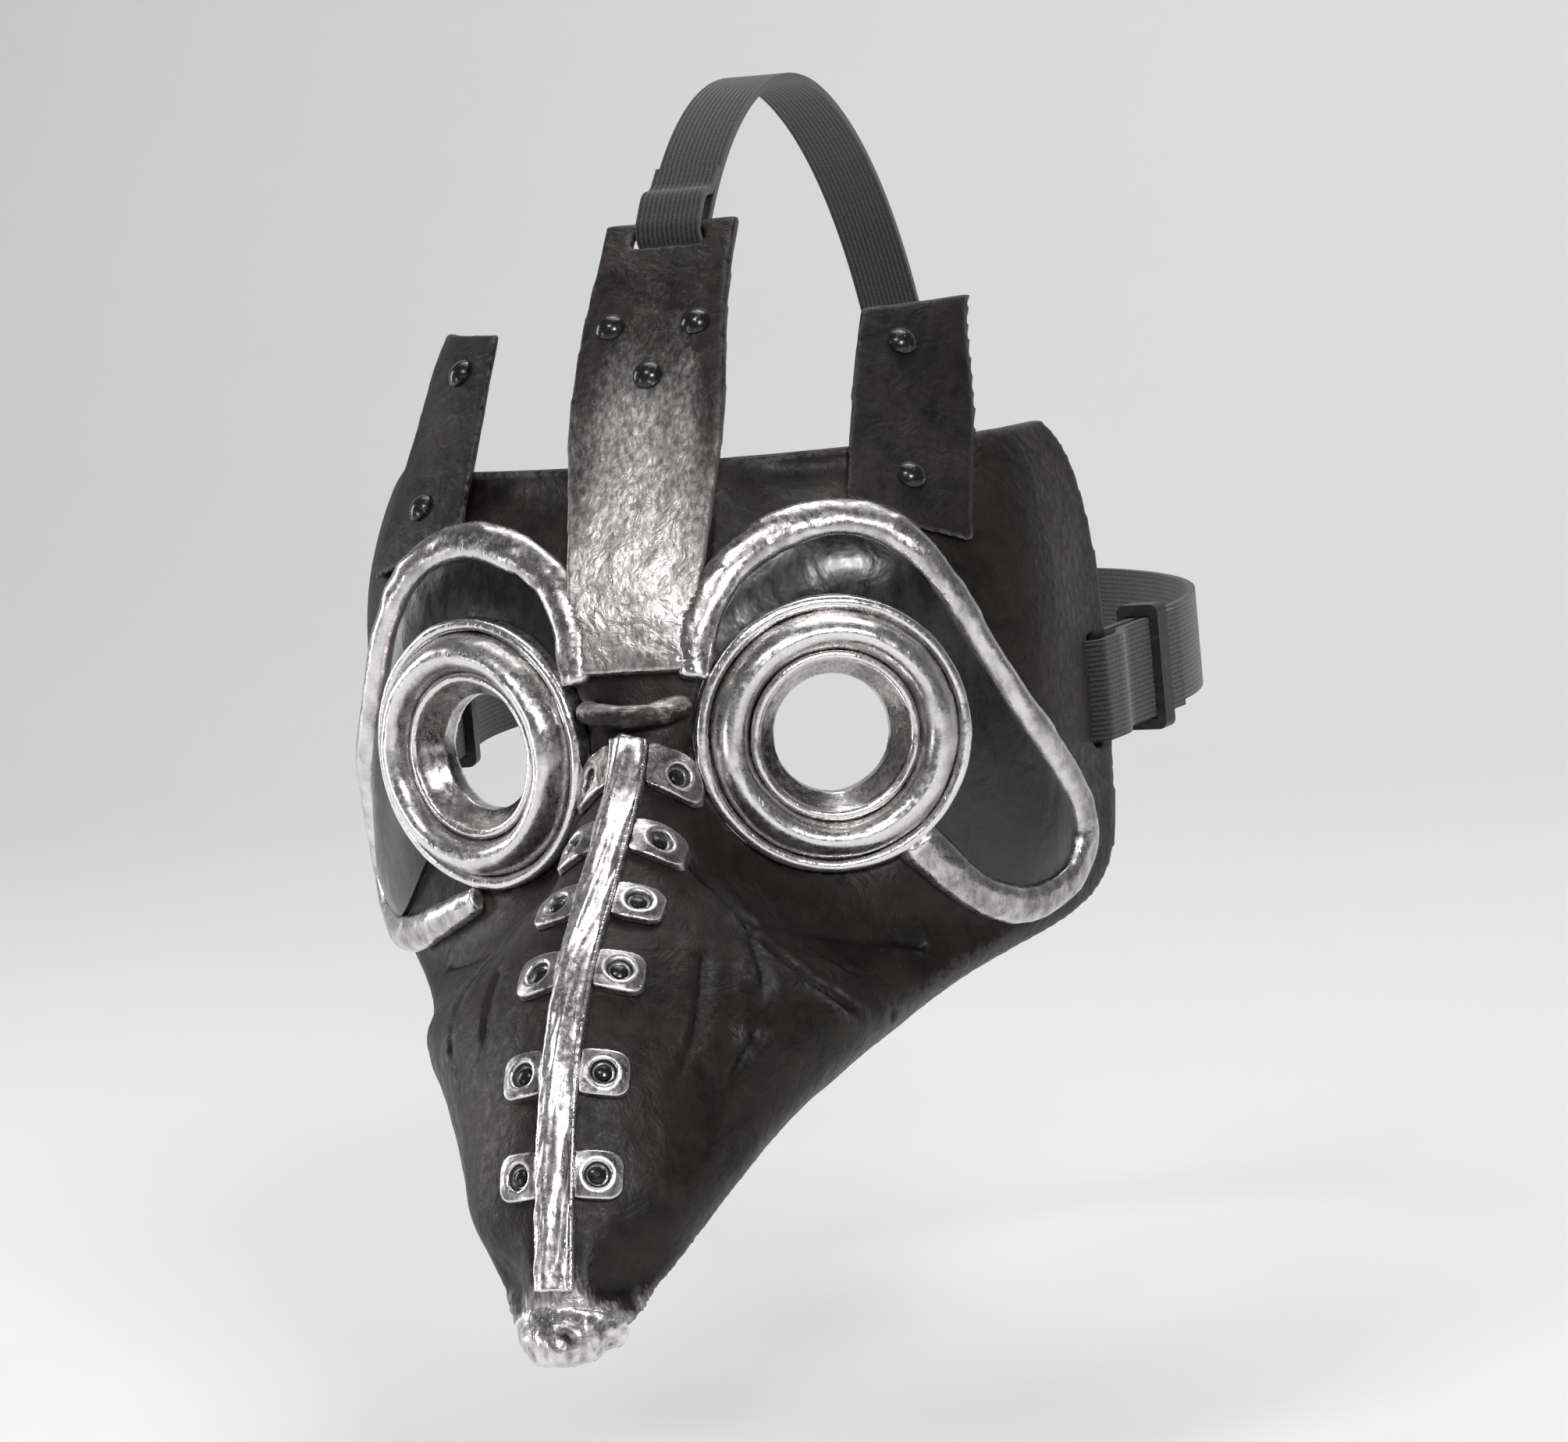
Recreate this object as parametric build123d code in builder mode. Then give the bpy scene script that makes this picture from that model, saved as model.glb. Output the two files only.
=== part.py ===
from build123d import *
import math
import os

os.makedirs("parts", exist_ok=True)

# ---------------------------------------------------------------- driving dimensions (mm)
# Origin midway between the two eye holes. X to the wearer's left, +Y back towards the head, +Z up.
skin_t = 3.0  # leather skin thickness
eye_x = 35.0  # half the distance between eye holes
eye_turn = 24.0  # each goggle is turned outwards by this angle
eye_hole_r = 11.3
bezel_r = 16.0
cup_r = 24.0
flange_r = 26.6

# Skin sections from brow to beak: crest (y, z), lower or rear edge (y, z), half profile (x, depth)
prof_a0 = [(5, 0.1), (9, 0.3), (14, 0.9), (24, 3), (37, 8.5), (50, 18), (61, 33), (66, 50.5)]
prof_a = [(5, 0.1), (9, 0.3), (14, 0.8), (24, 2.5), (38, 7.5), (53, 17), (65, 33), (70.5, 61)]
prof_b = [(5, 0.1), (9, 0.4), (14, 1.2), (24, 3.2), (38, 7.5), (54, 16.5), (68, 36), (73, 72.2)]
prof_c = [(5, 0.2), (9, 0.8), (14, 2.8), (24, 7.5), (38, 14), (55, 22.5), (68.5, 41), (73.5, 79)]
prof_1 = [(4, 1.2), (8, 5), (13, 10), (24, 15.3), (38, 21.5), (55, 30), (68, 46.5), (73.5, 84.9)]
prof_2 = [(6, 2.5), (11, 9.5), (16, 20.5), (24, 29.3), (36, 35), (53, 43.5), (67, 59), (72.5, 89.6)]
prof_3 = [(7, 2.3), (12, 5.5), (18, 13), (26, 26.5), (36, 41), (48, 53), (56.5, 62.5), (56, 71)]
prof_4 = [(7, 2), (12, 4.5), (18, 8.5), (26, 15), (35, 25), (42, 36), (45.5, 47), (42, 57.7)]
prof_5 = [(7, 2), (12, 4.2), (17, 7.5), (23, 12.5), (29, 19.5), (33.5, 28), (35.5, 36.5), (32.5, 44.5)]
prof_6 = [(5, 1.2), (9, 3), (13, 5.5), (17.5, 9), (21.5, 13.5), (24.8, 19), (26.3, 25), (25, 30.4)]
prof_7 = [(4, 0.8), (7.5, 2.2), (10.5, 4), (13.5, 6.5), (16, 9.5), (17.8, 13), (18.5, 16.8), (18, 20)]
prof_8 = [(2.5, 0.4), (4.7, 1.1), (6.7, 2.2), (8.4, 3.6), (9.7, 5.3), (10.6, 7.2), (11, 9.1), (10.9, 10.8)]
skin_sections = [((9.5, 53), (60, 52), prof_a0), ((3, 42), (64, 42), prof_a), ((-5, 28), (67, 22), prof_b)]
skin_sections += [((-11, 13), (67, 0), prof_c), ((-19, -2), (64, -20), prof_1)]
skin_sections += [((-32, -13), (54, -38), prof_2)]
skin_sections += [((-46, -23), (20, -49), prof_3), ((-60, -33), (-8, -58), prof_4)]
skin_sections += [((-71, -44.5), (-32, -66), prof_5), ((-79.5, -58), (-55, -76), prof_6)]
skin_sections += [((-86, -74), (-70, -86), prof_7), ((-91, -90), (-82, -96), prof_8)]

steps = 32  # points along each section


def catmull(points, t):
    """Centripetal-style smooth curve through the points, t in 0..len-1."""
    i = min(int(t), len(points) - 2)
    f = t - i
    p1, p2 = points[i], points[i + 1]
    p0 = points[i - 1] if i > 0 else tuple(2 * a - b for a, b in zip(p1, p2))
    p3 = points[i + 2] if i + 2 < len(points) else tuple(2 * b - a for a, b in zip(p1, p2))
    return tuple(
        0.5 * (2 * b + (c - a) * f + (2 * a - 5 * b + 4 * c - d) * f * f + (3 * b - a - 3 * c + d) * f**3)
        for a, b, c, d in zip(p0, p1, p2, p3)
    )


def section_curve(profile, inset):
    """The whole symmetric section curve, moved inwards by inset."""
    half = [(0.0, 0.0)] + profile
    full = [(-x, s) for x, s in reversed(profile)] + half
    last = len(full) - 1
    points = []
    for i in range(steps + 1):
        t = last * i / steps
        x0, s0 = catmull(full, max(t - 0.05, 0))
        x1, s1 = catmull(full, min(t + 0.05, last))
        x, s = catmull(full, t)
        n = math.hypot(x1 - x0, s1 - s0)
        points.append((x - inset * (s1 - s0) / n, s + inset * (x1 - x0) / n))
    return points


def section_plane(crest, edge):
    (cy, cz), (ey, ez) = crest, edge
    n = math.hypot(ey - cy, ez - cz)
    return Plane(origin=(0, cy, cz), x_dir=(1, 0, 0), z_dir=(0, -(ez - cz) / n, (ey - cy) / n))


def skin_layer(sections, outside, inside):
    """A layer that follows the skin, from outside to inside its outer face."""
    with BuildPart() as layer:
        for crest, edge, profile in sections:
            with BuildSketch(section_plane(crest, edge)):
                with BuildLine():
                    outer = section_curve(profile, outside)
                    inner = section_curve(profile, inside)
                    Spline(*outer)
                    Line(outer[-1], inner[-1])
                    Spline(*reversed(inner))
                    Line(inner[0], outer[0])
                make_face()
        loft()
    return layer.part


def biggest(part):
    """Only the largest solid of a cut part."""
    return Part() + sorted(part.solids(), key=lambda solid: solid.volume)[-1]


# ---------------------------------------------------------------- leather skin
c_turn = math.cos(math.radians(eye_turn))
s_turn = math.sin(math.radians(eye_turn))
goggle_plane = Plane(origin=(eye_x, 0, 0), x_dir=(c_turn, s_turn, 0), z_dir=(s_turn, -c_turn, 0))
whole_skin = skin_layer(skin_sections, 0, skin_t)

slot_y = 57.8  # temple slot centre, near the rear edge
slot_z = -2.0
slot_w = 4.6
slot_h = 22.0

with BuildPart() as face_shell:
    add(whole_skin)
    with BuildSketch(goggle_plane.offset(-20)):
        Circle(flange_r + 0.05)
    eye_cut = extrude(amount=50, mode=Mode.PRIVATE)
    add(eye_cut, mode=Mode.SUBTRACT)
    add(mirror(eye_cut, about=Plane.YZ, mode=Mode.PRIVATE), mode=Mode.SUBTRACT)
    with BuildSketch(Plane.YZ.offset(60)):
        with Locations((slot_y, slot_z)):
            RectangleRounded(slot_w, slot_h, 1.5)
    slot_cut = extrude(amount=25, mode=Mode.PRIVATE)
    add(slot_cut, mode=Mode.SUBTRACT)
    add(mirror(slot_cut, about=Plane.YZ, mode=Mode.PRIVATE), mode=Mode.SUBTRACT)

# ---------------------------------------------------------------- closed beak tip
tip_steps = [((-91, -90), (-82, -96), 1.0), ((-92.6, -94.3), (-85.0, -98.6), 0.82)]
tip_steps += [((-93.2, -97.4), (-88.4, -100.0), 0.56), ((-92.9, -99.4), (-91.0, -100.4), 0.25)]
with BuildPart() as beak_tip:
    for crest, edge, scale in tip_steps:
        depth = math.hypot(edge[0] - crest[0], edge[1] - crest[1])
        scaled = [(x * scale, d * depth / 10.8) for x, d in prof_8]
        with BuildSketch(section_plane(crest, edge)):
            with BuildLine():
                curve = section_curve(scaled, 0)
                Spline(*curve)
                Line(curve[-1], curve[0])
            make_face()
    loft()

# ---------------------------------------------------------------- goggle rings, built on Z then turned
with BuildPart() as bezel_on_z:
    with BuildSketch(Plane.XZ):
        with BuildLine():
            Polyline((16.4, 3.6), (16.4, -4), (11.3, -4), (11.3, -0.6), (14.4, 3.9))
            ThreePointArc((14.4, 3.9), (15.6, 4.9), (16.4, 3.6))
        make_face()
    revolve(axis=Axis.Z)

with BuildPart() as cup_on_z:
    with BuildSketch(Plane.XZ):
        with BuildLine():
            Polyline((16.4, 3.6), (16.4, -4), (cup_r, -4), (cup_r, 1.6))
            crown_points = [(22.0, 6.7), (20.0, 7.9), (18.1, 7.0), (16.9, 4.9)]
            Spline((cup_r, 1.6), (23.3, 4.4), *crown_points, (16.4, 3.6))
        make_face()
    revolve(axis=Axis.Z)

with BuildPart() as flange_on_z:
    with BuildSketch(Plane.XZ):
        with BuildLine():
            Polyline((cup_r, 1.6), (cup_r, -7), (flange_r, -7), (flange_r, 1.6))
            ThreePointArc((flange_r, 1.6), ((cup_r + flange_r) / 2, 3.2), (cup_r, 1.6))
        make_face()
    revolve(axis=Axis.Z)

eye_bezel_left = bezel_on_z.part.moved(goggle_plane.location)
eye_cup_left = cup_on_z.part.moved(goggle_plane.location)
eye_flange_left = flange_on_z.part.moved(goggle_plane.location)

# ---------------------------------------------------------------- brow and cheek frame around each goggle
frame_turn = 38.0  # the frame outline is laid out square to this direction
frame_w = 7.4
frame_h = 4.9
c_f = math.cos(math.radians(frame_turn))
s_f = math.sin(math.radians(frame_turn))
frame_plane = Plane(origin=(eye_x, 0, 0), x_dir=(c_f, s_f, 0), z_dir=(s_f, -c_f, 0))
frame_path = [(-24.0, 13), (-21.0, 24), (-14.5, 32), (-6.0, 37.5), (3.5, 40), (12.0, 38.8), (18.8, 34)]
frame_path += [(24.0, 26.5), (29.0, 16.8), (34.5, 6.8), (40.5, -3), (47.0, -12.5), (52.0, -21)]
frame_path += [(52.8, -28.5), (48.5, -35), (41.0, -37.6), (33.0, -37.3), (25.5, -33.8), (19.5, -28.5)]
frame_path += [(16.0, -24.6), (13.2, -21.4)]
frame_width = [6.4, 7.4, 7.6, 7.6, 7.6, 7.4, 6.6, 5.6, 5.2, 5.2, 5.5, 6.0, 6.8, 7.4, 7.6, 7.4, 7.2, 7.4, 7.6]
frame_width += [8.0, 8.4]
# The lower limb on the wearer's right runs on under the goggle and tapers out
long_path = frame_path[:17] + [(25.0, -36.2), (17.0, -33.8), (9.5, -31.2), (3.0, -28.8)]
long_width = frame_width[:17] + [6.8, 6.4, 5.8, 5.2]


def on_skin(plane, a, b):
    """Point and outward normal where a line square to the plane meets the skin."""
    start = plane.from_local_coords((a, b, 90))
    back = plane.z_dir * -1
    point, normal = whole_skin.find_intersection_points(Axis(start, back))[0]
    if normal.dot(plane.z_dir) < 0:
        normal = normal * -1
    return point, normal


def frame_tube(path, widths):
    """Oval tube laid on the skin along a path drawn in the frame plane."""
    rail = [on_skin(frame_plane, a, b) for a, b in path]
    with BuildPart() as tube:
        for first in range(0, len(rail) - 2, 2):
            for i in range(first, first + 3):
                point, normal = rail[i]
                ahead = rail[min(i + 1, len(rail) - 1)][0]
                behind = rail[max(i - 1, 0)][0]
                along = (ahead - behind).normalized()
                across = normal.cross(along).normalized()
                centre = point + along.cross(across) * 1.1
                with BuildSketch(Plane(origin=centre, x_dir=across, z_dir=along)):
                    Ellipse(widths[i] / 2, frame_h / 2)
            loft()
    return tube.part


frame_raw = frame_tube(frame_path, frame_width)
long_raw = frame_tube(long_path, long_width)
with BuildPart() as goggle_room:
    with BuildSketch(goggle_plane.offset(-20)):
        Circle(flange_r)
    extrude(amount=50)

brow_frame_left = biggest(frame_raw - whole_skin - goggle_room.part)
brow_frame_long = biggest(long_raw - whole_skin - goggle_room.part)

# ---------------------------------------------------------------- glossy recess panel inside the frame
panel_layer = skin_layer(skin_sections, -1.2, 0)
with BuildPart() as panel_prism:
    with BuildSketch(frame_plane.offset(-60)):
        with BuildLine():
            Spline(*frame_path)
            Line(frame_path[-1], frame_path[0])
        make_face()
    extrude(amount=120)

with BuildPart() as panel_cut:
    add(panel_prism.part)
    add(panel_layer, mode=Mode.INTERSECT)
    add(goggle_room.part, mode=Mode.SUBTRACT)
    add(frame_raw, mode=Mode.SUBTRACT)

eye_panel_left = biggest(panel_cut.part)
eye_panel_long = biggest(panel_cut.part - long_raw)

# ---------------------------------------------------------------- forehead straps
strap_t = 2.6
strap_line = [(-10.2, 14.5), (-5.2, 28), (2.8, 42), (9.3, 53)]
strap_line += [(16.5, 66), (25, 78.5), (35, 89.5), (42.5, 96.5)]
strap_half = [(12.0, 12), (12.8, 20), (13.6, 32), (14.6, 45)]
strap_half += [(15.5, 58), (15.2, 70), (14.2, 82), (13.2, 97.5)]


def offset_line(points, amount):
    """Points of a curve moved sideways, to the left of its direction."""
    moved = []
    for i, (u, v) in enumerate(points):
        u0, v0 = points[max(i - 1, 0)]
        u1, v1 = points[min(i + 1, len(points) - 1)]
        n = math.hypot(u1 - u0, v1 - v0)
        moved.append((u - amount * (v1 - v0) / n, v + amount * (u1 - u0) / n))
    return moved


def side_strip(points, low, high, half_width):
    """A strip drawn in the YZ plane along points, from low to high offset, extruded along X."""
    lower = offset_line(points, low)
    upper = offset_line(points, high)
    with BuildPart() as strip:
        with BuildSketch(Plane.YZ):
            with BuildLine():
                Spline(*lower)
                Line(lower[-1], upper[-1])
                Spline(*reversed(upper))
                Line(upper[0], lower[0])
            make_face()
        extrude(amount=half_width, both=True)
    return strip.part


strap_strip = side_strip(strap_line, 0, strap_t, 20)
strap_end = Plane(origin=(0, 38.8, 93.0), x_dir=(1, 0, 0), z_dir=(0, -0.7, 0.714))
with BuildPart() as centre_strap:
    with BuildSketch(Plane.XZ.offset(-80)):
        with BuildLine():
            Spline(*strap_half)
            Spline(*[(-x, z) for x, z in strap_half])
            Line((12.0, 12), (-12.0, 12))
            Line((13.2, 97.5), (-13.2, 97.5))
        make_face()
    extrude(amount=160)
    add(strap_strip, mode=Mode.INTERSECT)
    add(whole_skin, mode=Mode.SUBTRACT)
    add(frame_raw, mode=Mode.SUBTRACT)
    add(mirror(frame_raw, about=Plane.YZ, mode=Mode.PRIVATE), mode=Mode.SUBTRACT)
    with BuildSketch(strap_end.offset(-10)):
        RectangleRounded(14.6, 4.6, 1.2)
    extrude(amount=20, mode=Mode.SUBTRACT)

head_sections = [((-5, 28), (67, 22), prof_b), ((3, 42), (64, 42), prof_a), ((9.5, 53), (60, 52), prof_a0)]
prof_h1 = [(5, 0.1), (9, 0.4), (14, 1.1), (24, 4), (36, 10.5), (48, 20), (57.5, 33), (62, 47)]
prof_h2 = [(5, 0.1), (9, 0.5), (14, 1.4), (24, 5), (34, 11), (44, 19.5), (51.5, 31), (56, 43)]
head_sections += [((18.5, 67), (66, 67), prof_h1), ((28.5, 80), (72, 80), prof_h2)]
side_layer = skin_layer(head_sections, -2.2, 0)
side_outline = [(39, 42), (38.5, 52), (37.8, 64), (37.5, 78), (54, 78), (56.5, 64), (58.5, 52), (61, 33)]
with BuildPart() as side_strap:
    with BuildSketch(Plane.XZ.offset(-80)):
        with BuildLine():
            Spline(*side_outline[:4])
            Spline(*side_outline[4:])
            Line(side_outline[3], side_outline[4])
            Line(side_outline[7], side_outline[0])
        make_face()
    extrude(amount=160)
    add(side_layer, mode=Mode.INTERSECT)
    add(whole_skin, mode=Mode.SUBTRACT)
    add(frame_raw, mode=Mode.SUBTRACT)

side_strap_left = biggest(side_strap.part)

# ---------------------------------------------------------------- domed studs
stud_r = 2.9
stud_dome_r = 3.6
with BuildPart() as stud_on_z:
    with Locations((0, 0, -1.2)):
        Cylinder(stud_r, 4, align=(Align.CENTER, Align.CENTER, Align.MIN))
    with Locations((0, 0, 2.0 - stud_dome_r)):
        Sphere(stud_dome_r, mode=Mode.INTERSECT)


def seat(part, start, heading):
    """Plane on the outer face of part, where a line from start meets it."""
    point, normal = part.find_intersection_points(Axis(start, heading))[0]
    if normal.dot(Vector(heading)) > 0:
        normal = normal * -1
    return Plane(origin=point, z_dir=normal)


centre_studs_at = [(8.7, 78.8), (-8.7, 78.8), (0, 69.6)]
centre_seats = [seat(centre_strap.part, (x, -60, z), (0, 1, 0)) for x, z in centre_studs_at]
with BuildPart() as centre_strap_studs:
    for plane in centre_seats:
        add(stud_on_z.part.moved(plane.location))
    add(centre_strap.part, mode=Mode.SUBTRACT)

side_studs_at = [(50.0, 46.5), (45.5, 71.0)]
side_seats = [seat(side_strap_left, (x, -60, z), (0, 1, 0)) for x, z in side_studs_at]
with BuildPart() as side_studs:
    for plane in side_seats:
        add(stud_on_z.part.moved(plane.location))
    add(side_strap_left, mode=Mode.SUBTRACT)
    add(whole_skin, mode=Mode.SUBTRACT)

side_strap_left_studs = side_studs.part

# ---------------------------------------------------------------- spine ridge with tabs and rivets
spine_line = [(-16.5, 2.5), (-24.5, -7.2), (-32, -13), (-46, -23), (-60, -33), (-71, -44.5), (-79.5, -58)]
spine_line += [(-86, -74), (-90.3, -87.5)]
ridge_half = 3.6
# Tab stations: crest (y, z) and the slope of the crest below the horizontal
tab_stations = [(-18.8, -1.8, 42), (-32, -13, 38), (-46, -23, 35.5), (-60.5, -33.5, 41)]
tab_stations += [(-74.5, -50.2, 55), (-83, -67.5, 67)]
tab_x = [7.7, 7.7, 7.6, 7.4, 7.2, 6.9]
tab_w = 10.0
tab_l = 9.0
tab_hole_r = 1.5
tab_layer = skin_layer(skin_sections, -1.95, -0.05)
tab_seats = []
spine_tabs = Part()
for (y, z, slope), x in zip(tab_stations, tab_x):
    a = math.radians(slope)
    inward = Vector(0, math.sin(a), -math.cos(a))
    point, normal = whole_skin.find_intersection_points(Axis(Vector(x, y, z) - inward * 20, inward))[0]
    if normal.dot(inward) > 0:
        normal = normal * -1
    seat_plane = Plane(origin=point, z_dir=normal)
    tab_seats.append(seat_plane)
    with BuildPart() as one_tab:
        with BuildSketch(Plane(origin=(0, y, z), x_dir=(1, 0, 0), z_dir=inward * -1).offset(-14)):
            with Locations((x, 0)):
                RectangleRounded(tab_w, tab_l, 2.6)
        extrude(amount=20)
        with BuildSketch(seat_plane.offset(-4)):
            Circle(tab_hole_r)
        extrude(amount=8, mode=Mode.SUBTRACT)
        with BuildSketch(seat_plane.offset(1.1)):
            Circle(2.5)
        extrude(amount=3, mode=Mode.SUBTRACT)
        with Locations((ridge_half - 10, y, z)):
            Box(20, 60, 60, mode=Mode.SUBTRACT)
        add(goggle_room.part, mode=Mode.SUBTRACT)
        add(tab_layer, mode=Mode.INTERSECT)
    spine_tabs += one_tab.part.solids()

with BuildPart() as spine_ridge:
    add(side_strip(spine_line, -2.4, 1.5, ridge_half))
    add(whole_skin, mode=Mode.SUBTRACT)

with BuildPart() as rivet_on_z:
    with Locations((0, 0, -1)):
        Cylinder(1.45, 4, align=(Align.CENTER, Align.CENTER, Align.MIN))
    with Locations((0, 0, 1.7 - 3.0)):
        Sphere(3.0, mode=Mode.INTERSECT)

with BuildPart() as tab_rivets:
    for plane in tab_seats:
        add(rivet_on_z.part.moved(plane.location))
    add(whole_skin, mode=Mode.SUBTRACT)

# ---------------------------------------------------------------- rolled fold over the bridge of the nose
with BuildPart() as bridge_roll:
    with BuildLine() as roll_path:
        ThreePointArc((-9.2, -12.6, 8.2), (0, -16.4, 7.4), (9.2, -12.6, 8.2))
    with BuildSketch(Plane(origin=roll_path.line @ 0, z_dir=roll_path.line % 0)):
        Circle(2.3)
    sweep()
    with Locations((-9.2, -12.6, 8.2), (9.2, -12.6, 8.2)):
        Sphere(2.3)
    add(whole_skin, mode=Mode.SUBTRACT)
    add(centre_strap.part, mode=Mode.SUBTRACT)
    add(spine_ridge.part, mode=Mode.SUBTRACT)
    add(goggle_room.part, mode=Mode.SUBTRACT)
    add(mirror(goggle_room.part, about=Plane.YZ, mode=Mode.PRIVATE), mode=Mode.SUBTRACT)

# ---------------------------------------------------------------- foam pad inside the forehead
pad_layer = skin_layer(skin_sections[:5], skin_t + 1.2, skin_t + 5.3)
with BuildPart() as pad_room:
    with BuildSketch(goggle_plane.offset(-20)):
        Circle(flange_r + 0.6)
    extrude(amount=50)

with BuildPart() as brow_pad:
    with BuildSketch(Plane.XZ.offset(-80)):
        with Locations((0, 34)):
            RectangleRounded(84, 14, 5)
    extrude(amount=160)
    add(pad_layer, mode=Mode.INTERSECT)
    add(pad_room.part, mode=Mode.SUBTRACT)
    add(mirror(pad_room.part, about=Plane.YZ, mode=Mode.PRIVATE), mode=Mode.SUBTRACT)

# ---------------------------------------------------------------- elastic band round the back of the head
band_t = 1.6
band_h = 20.0
lean = 8.5  # the straight side span leans outwards by this angle
gap = 3.0  # spacing of the two layers through the slider
turn_r = 3.3  # fold radius through the temple slot
c_l = math.cos(math.radians(lean))
s_l = math.sin(math.radians(lean))
band_z = Vector(0, 0, slot_z)
with BuildPart() as half_band:
    with BuildLine() as band_path:
        back_1 = JernArc((0, 205, slot_z), (1, 0, 0), 70.6, -45)
        back_2 = JernArc(back_1 @ 1, back_1 % 1, 89.27, -45 - lean)
        inner_leg = Line(back_2 @ 1, back_2 @ 1 + (back_2 % 1) * 48.3)
        fold = JernArc(inner_leg @ 1, inner_leg % 1, turn_r, 180)
        outer_leg = Line(fold @ 1, fold @ 1 + (fold % 1) * 6.5)
        jog_1 = JernArc(outer_leg @ 1, outer_leg % 1, 15, 28.4)
        jog_2 = JernArc(jog_1 @ 1, jog_1 % 1, 15, -28.4)
        tail = Line(jog_2 @ 1, jog_2 @ 1 + (jog_2 % 1) * 27)
    with BuildSketch(Plane(origin=(0, 205, slot_z), x_dir=(0, 1, 0), z_dir=(1, 0, 0))):
        Rectangle(band_t, band_h)
    sweep()

back_band = half_band.part + mirror(half_band.part, about=Plane.YZ)

# ---------------------------------------------------------------- slide loops on the band
slide_l = 5.0
slide_at = 93.5  # distance back (y) of the slider's centre at rest
span = back_2 @ 1
mid_x = span.X - (span.Y - slide_at) * s_l / c_l + gap / 2 * c_l
slide_plane = Plane(origin=(mid_x, slide_at, slot_z), x_dir=(c_l, -s_l, 0), z_dir=(s_l, c_l, 0))
with BuildPart() as slider_left:
    with BuildSketch(slide_plane.offset(-slide_l / 2)):
        RectangleRounded(gap + band_t + 4.2, band_h + 5.4, 1.6)
        with Locations((gap / 2, 0), (-gap / 2, 0)):
            Rectangle(band_t + 0.6, band_h + 1.0, mode=Mode.SUBTRACT)
    extrude(amount=slide_l)

# ---------------------------------------------------------------- crown band over the head
crown_w = 13.0
crown_t = 1.5
with BuildPart() as crown_main:
    with BuildLine(Plane.YZ) as crown_path:
        drop = Line((206.75, -11), (206.75, 14))
        crown_1 = JernArc(drop @ 1, drop % 1, 109.5, 70)
        crown_2 = JernArc(crown_1 @ 1, crown_1 % 1, 85.6, 65)
        run_in = Line(crown_2 @ 1, crown_2 @ 1 + (crown_2 % 1) * 4.5)
        top_fold = JernArc(run_in @ 1, run_in % 1, 2.6, -180)
        run_out = Line(top_fold @ 1, top_fold @ 1 + (top_fold % 1) * 5.0)
    with BuildSketch(Plane(origin=(0, 206.75, -11), x_dir=(1, 0, 0), z_dir=(0, 0, 1))):
        Rectangle(crown_w, crown_t)
    sweep()

with BuildPart() as crown_tail:
    with BuildLine(Plane.YZ) as tail_path:
        dip = JernArc(run_out @ 1, run_out % 1, 6.0, -49)
        level = JernArc(dip @ 1, dip % 1, 6.0, 40)
        sewn = Line(level @ 1, level @ 1 + (level % 1) * 5)
    with BuildSketch(Plane(origin=run_out @ 1, x_dir=(1, 0, 0), z_dir=run_out % 1)):
        Rectangle(crown_w, crown_t)
    sweep()

crown_band = crown_main.part + crown_tail.part
parts = {"face_shell": face_shell.part, "beak_tip": beak_tip.part, "centre_strap": centre_strap.part}
parts.update({"centre_strap_studs": centre_strap_studs.part, "spine_ridge": spine_ridge.part})
paired = {"eye_bezel": eye_bezel_left, "eye_cup": eye_cup_left, "eye_flange": eye_flange_left}
paired.update({"brow_frame": brow_frame_left, "eye_panel": eye_panel_left})
paired.update({"side_strap": side_strap_left, "side_strap_studs": side_strap_left_studs})
paired.update({"slider": slider_left.part, "spine_tabs": spine_tabs, "tab_rivets": tab_rivets.part})
parts.update({"bridge_roll": bridge_roll.part, "brow_pad": brow_pad.part})
parts.update({"back_band": back_band, "crown_band": crown_band})
for name, part in paired.items():
    parts[name + "_left"] = part
    parts[name + "_right"] = mirror(part, about=Plane.YZ)

parts["brow_frame_right"] = mirror(brow_frame_long, about=Plane.YZ)
parts["eye_panel_right"] = mirror(eye_panel_long, about=Plane.YZ)

for name, part in parts.items():
    part.label = name
    export_step(part, "parts/" + name + ".step")
    print(name, part.is_valid, len(part.solids()), round(part.volume, 1))
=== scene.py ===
import math
import bpy
import numpy as np
from mathutils import Matrix, Vector


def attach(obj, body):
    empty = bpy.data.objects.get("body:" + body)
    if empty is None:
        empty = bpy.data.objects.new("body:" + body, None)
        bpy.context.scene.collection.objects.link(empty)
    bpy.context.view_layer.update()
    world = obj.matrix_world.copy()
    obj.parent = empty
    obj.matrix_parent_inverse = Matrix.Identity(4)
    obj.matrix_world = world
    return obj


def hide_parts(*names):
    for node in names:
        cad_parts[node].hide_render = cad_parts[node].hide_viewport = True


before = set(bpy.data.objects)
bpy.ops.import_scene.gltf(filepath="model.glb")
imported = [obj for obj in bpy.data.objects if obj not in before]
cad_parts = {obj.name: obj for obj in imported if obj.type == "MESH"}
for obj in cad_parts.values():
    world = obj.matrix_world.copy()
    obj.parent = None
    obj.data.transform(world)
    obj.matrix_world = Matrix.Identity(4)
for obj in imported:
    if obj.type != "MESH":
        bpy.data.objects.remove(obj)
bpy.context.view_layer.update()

MM = 0.001
SIDES = (("left", 1), ("right", -1))


# ------------------------------------------------------------ noise in numpy
RNG = np.random.RandomState(7)
PERM = RNG.permutation(256)
PERM = np.concatenate([PERM, PERM, PERM])
GRAD = RNG.normal(size=(256, 3))
GRAD /= np.linalg.norm(GRAD, axis=1)[:, None]


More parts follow.
